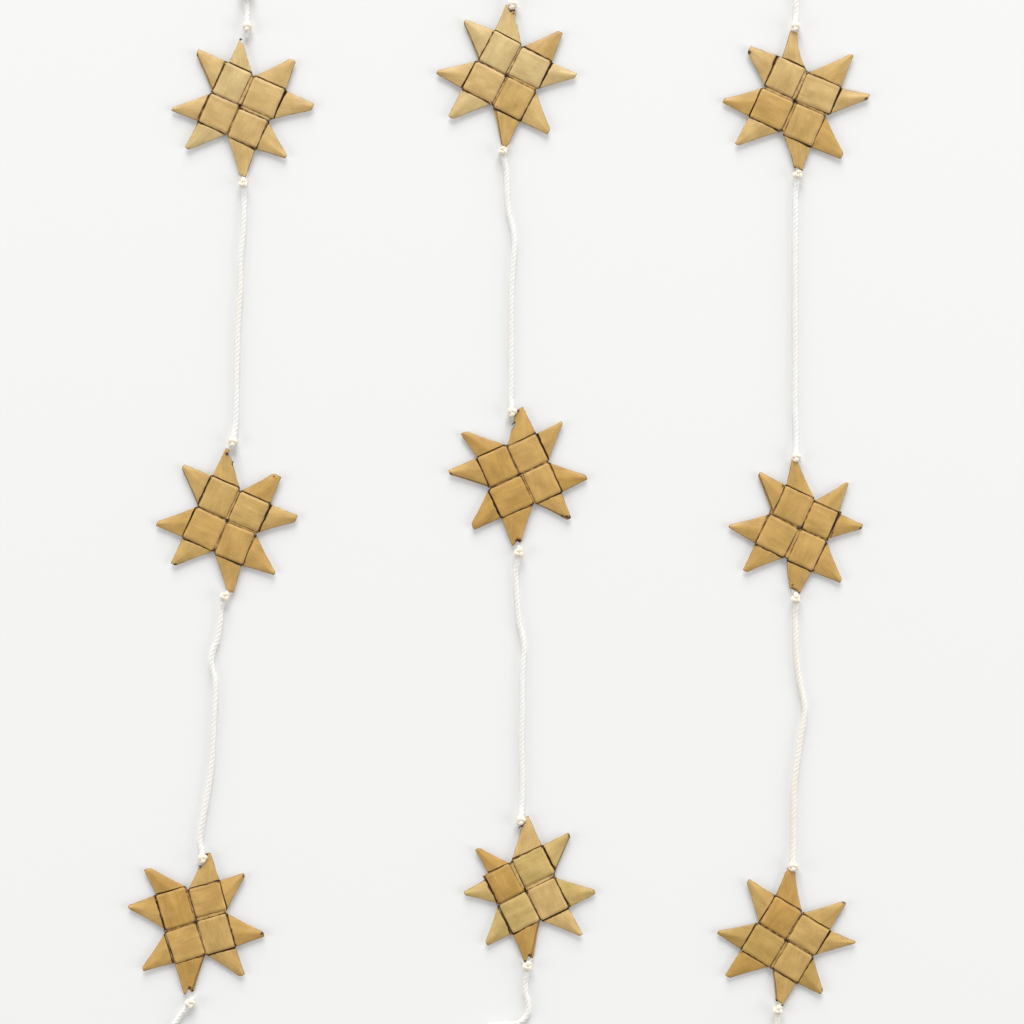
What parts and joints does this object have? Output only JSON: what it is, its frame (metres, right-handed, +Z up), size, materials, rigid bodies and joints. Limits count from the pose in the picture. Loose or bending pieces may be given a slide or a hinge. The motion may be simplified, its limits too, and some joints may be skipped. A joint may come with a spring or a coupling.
{
  "type": "star garland",
  "caption": "Garland of flat eight-pointed stars woven from palm-leaf strips, knotted tip to tip on a twisted cotton cord with a small hanging loop at each end.",
  "frame": {"origin": "under the middle of the nine stars' common box, on the surface that the garland lies on", "axes": "+X to the right across the three runs, +Y up the runs, +Z up from the surface towards the stars' fronts"},
  "size_m": [0.2722, 0.4344, 0.0055],
  "materials": {
    "palm_leaf": "satin, waxy, fine lengthwise fibres",
    "cotton_cord": "matte twisted cotton"
  },
  "bodies": {
    "root": {"star_1_upright_left": "palm_leaf", "star_1_cross_lower": "palm_leaf", "star_1_upright_right": "palm_leaf", "star_1_cross_upper": "palm_leaf", "star_2_upright_left": "palm_leaf", "star_2_cross_lower": "palm_leaf", "star_2_upright_right": "palm_leaf", "star_2_cross_upper": "palm_leaf", "star_3_upright_left": "palm_leaf", "star_3_cross_lower": "palm_leaf", "star_3_upright_right": "palm_leaf", "star_3_cross_upper": "palm_leaf", "star_4_upright_left": "palm_leaf", "star_4_cross_lower": "palm_leaf", "star_4_upright_right": "palm_leaf", "star_4_cross_upper": "palm_leaf", "star_5_upright_left": "palm_leaf", "star_5_cross_lower": "palm_leaf", "star_5_upright_right": "palm_leaf", "star_5_cross_upper": "palm_leaf", "star_6_upright_left": "palm_leaf", "star_6_cross_lower": "palm_leaf", "star_6_upright_right": "palm_leaf", "star_6_cross_upper": "palm_leaf", "star_7_upright_left": "palm_leaf", "star_7_cross_lower": "palm_leaf", "star_7_upright_right": "palm_leaf", "star_7_cross_upper": "palm_leaf", "star_8_upright_left": "palm_leaf", "star_8_cross_lower": "palm_leaf", "star_8_upright_right": "palm_leaf", "star_8_cross_upper": "palm_leaf", "star_9_upright_left": "palm_leaf", "star_9_cross_lower": "palm_leaf", "star_9_upright_right": "palm_leaf", "star_9_cross_upper": "palm_leaf", "cord_first_end": "cotton_cord", "cord_1_2": "cotton_cord", "cord_2_3": "cotton_cord", "cord_3_4": "cotton_cord", "cord_4_5": "cotton_cord", "cord_5_6": "cotton_cord", "cord_6_7": "cotton_cord", "cord_7_8": "cotton_cord", "cord_8_9": "cotton_cord", "cord_last_end": "cotton_cord"}
  },
  "joints": []
}
